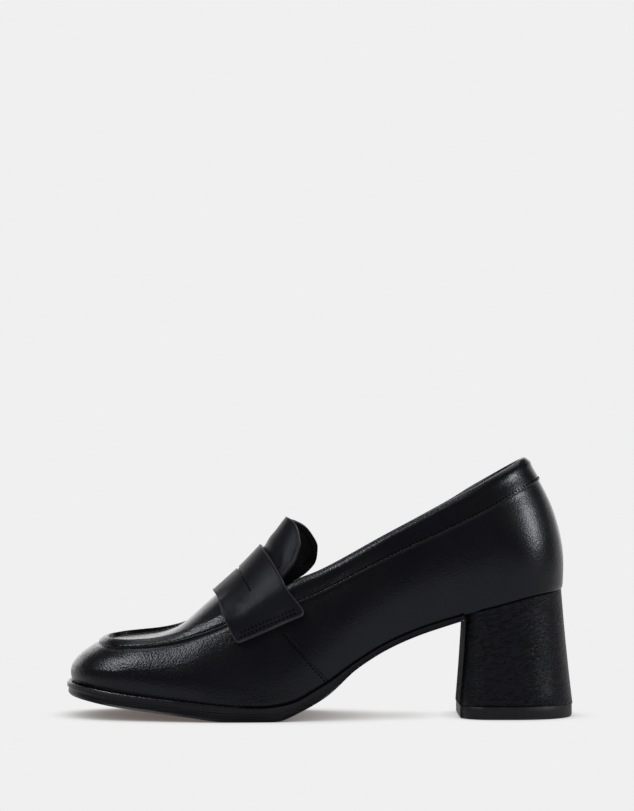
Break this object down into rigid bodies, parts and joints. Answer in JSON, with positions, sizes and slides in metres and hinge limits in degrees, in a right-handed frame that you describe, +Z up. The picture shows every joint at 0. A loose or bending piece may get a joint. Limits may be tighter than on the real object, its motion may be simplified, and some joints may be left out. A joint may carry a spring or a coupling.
{
  "type": "heeled loafer",
  "caption": "Heeled loafer for the left foot: black leather slip-on with a soft square apron toe, a slit saddle strap, a rounded tongue and a leather covered block heel.",
  "frame": {"origin": "middle of the shoe's bounding box, on the floor", "axes": "-X towards the toe, -Y towards the outer side of the left foot, +Z up"},
  "size_m": [0.24, 0.0838, 0.1223],
  "materials": {
    "upper_leather": "satin black leather with fine grain",
    "strap_leather": "satin black leather with fine grain",
    "tongue_leather": "satin black leather with fine grain",
    "outsole": "black painted edge, tan underside",
    "insole_lining": "matt lining leather",
    "heel_leather": "satin black leather with level wrinkles",
    "lift_rubber": "matt black"
  },
  "bodies": {
    "root": {"upper": "upper_leather", "saddle_strap": "strap_leather", "tongue": "tongue_leather", "outsole": "outsole", "insole": "insole_lining", "heel_block": "heel_leather", "top_lift": "lift_rubber"}
  },
  "joints": []
}
